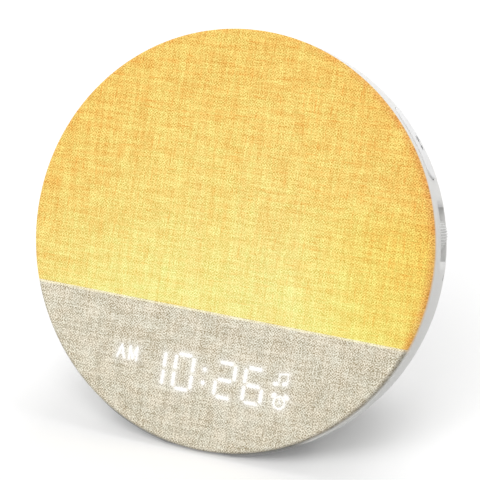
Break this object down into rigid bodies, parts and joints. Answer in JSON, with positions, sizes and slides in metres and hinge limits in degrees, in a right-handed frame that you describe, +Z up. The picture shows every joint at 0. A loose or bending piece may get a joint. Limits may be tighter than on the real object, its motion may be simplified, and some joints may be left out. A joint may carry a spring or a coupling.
{
  "type": "sunrise alarm clock",
  "caption": "Round bedside clock with a leaning linen front, a wake-up lamp behind its upper part, a lit display below, a domed rear housing, pill-shaped keys and a thumbwheel",
  "frame": {"origin": "centre of the base pad's circle, on the surface the clock stands on", "axes": "+X to the clock's left side as it faces the user, which is the right of its front seen from there; the front faces -Y and leans back; +Z up"},
  "size_m": [0.1808, 0.126, 0.1656],
  "materials": {
    "linen": "woven linen, lit from behind in its upper part",
    "shell_white": "fine-textured moulded plastic",
    "white_inner": "matt white",
    "opal": "opal",
    "smoke": "smoke tint",
    "board_white": "white solder mask",
    "board_green": "green solder mask",
    "led": "clear resin over phosphor",
    "segment": "frosted light pipe",
    "black_plastic": "satin",
    "ivory_plastic": "satin",
    "part_metal": "bright",
    "steel": "bright",
    "zinc_steel": "zinc plated",
    "ferrite": "matt",
    "copper": "enamelled wire",
    "cone_paper": "pressed paper",
    "spider_cloth": "stiffened cloth",
    "soft_rubber": "matt",
    "foam": "foam",
    "pad_rubber": "anti-slip",
    "cable_grey": "sheath",
    "cable_red": "sheath",
    "cable_black": "sheath"
  },
  "bodies": {
    "clock": {"fabric_cover": "linen", "front_ring": "white_inner", "light_diffuser": "opal", "display_lens": "smoke", "light_baffle": "white_inner", "reflector_dish": "white_inner", "lamp_board": "board_white", "lamp_leds": "led", "display_board": "board_green", "digit_block": "black_plastic", "digit_segments": "segment", "display_leds": "led", "main_board": "board_green", "processor_chip": "black_plastic", "main_board_parts": "part_metal", "board_connectors": "ivory_plastic", "cell_holder": "black_plastic", "backup_cell": "steel", "power_jack": "black_plastic", "speaker_frame": "steel", "speaker_yoke": "zinc_steel", "speaker_magnet": "ferrite", "speaker_top_plate": "zinc_steel", "speaker_surround": "soft_rubber", "speaker_spider": "spider_cloth", "speaker_gasket": "foam", "rear_housing": "shell_white", "base_pad": "pad_rubber", "right_switches": "black_plastic", "right_switch_board": "board_green", "left_switches": "black_plastic", "left_switch_board": "board_green", "snooze_switches": "black_plastic", "snooze_switch_board": "board_green", "encoder_body": "black_plastic", "encoder_board": "board_green", "housing_screws": "zinc_steel", "dish_screws": "zinc_steel", "lamp_board_screws": "zinc_steel", "display_screws": "zinc_steel", "main_board_screws": "zinc_steel", "speaker_screws": "zinc_steel", "switch_board_screws": "zinc_steel", "display_ribbon": "cable_grey", "lamp_leads": "cable_red", "speaker_leads": "cable_black", "control_leads": "cable_grey"},
    "right_key": {"right_key": "shell_white", "right_plungers": "black_plastic"},
    "left_key": {"left_key": "shell_white", "left_plungers": "black_plastic"},
    "snooze_key": {"snooze_key": "shell_white", "snooze_plungers": "black_plastic"},
    "volume_wheel": {"volume_wheel": "shell_white", "wheel_shaft": "steel"},
    "speaker_cone": {"speaker_cone": "cone_paper", "dust_cap": "cone_paper", "voice_coil": "copper"}
  },
  "joints": [
    {"name": "right_key_press", "type": "slide", "parent": "clock", "child": "right_key", "axis": [-0.7944, -0.249, -0.554], "range_m": [0, 0.0006], "stiffness_N_per_m": 600},
    {"name": "left_key_press", "type": "slide", "parent": "clock", "child": "left_key", "axis": [0.7944, -0.249, -0.554], "range_m": [0, 0.0006], "stiffness_N_per_m": 600},
    {"name": "snooze_key_press", "type": "slide", "parent": "clock", "child": "snooze_key", "axis": [0, -0.4099, -0.9121], "range_m": [0, 0.0006], "stiffness_N_per_m": 600},
    {"name": "volume_turn", "type": "hinge", "parent": "clock", "child": "volume_wheel", "pos_m": [0.07876, 0.01203, 0.09399], "axis": [0, -0.9121, 0.4099], "continuous": true},
    {"name": "cone_travel", "type": "slide", "parent": "clock", "child": "speaker_cone", "axis": [0, 0.9121, -0.4099], "range_m": [-0.0008, 0.0008], "stiffness_N_per_m": 2000}
  ]
}
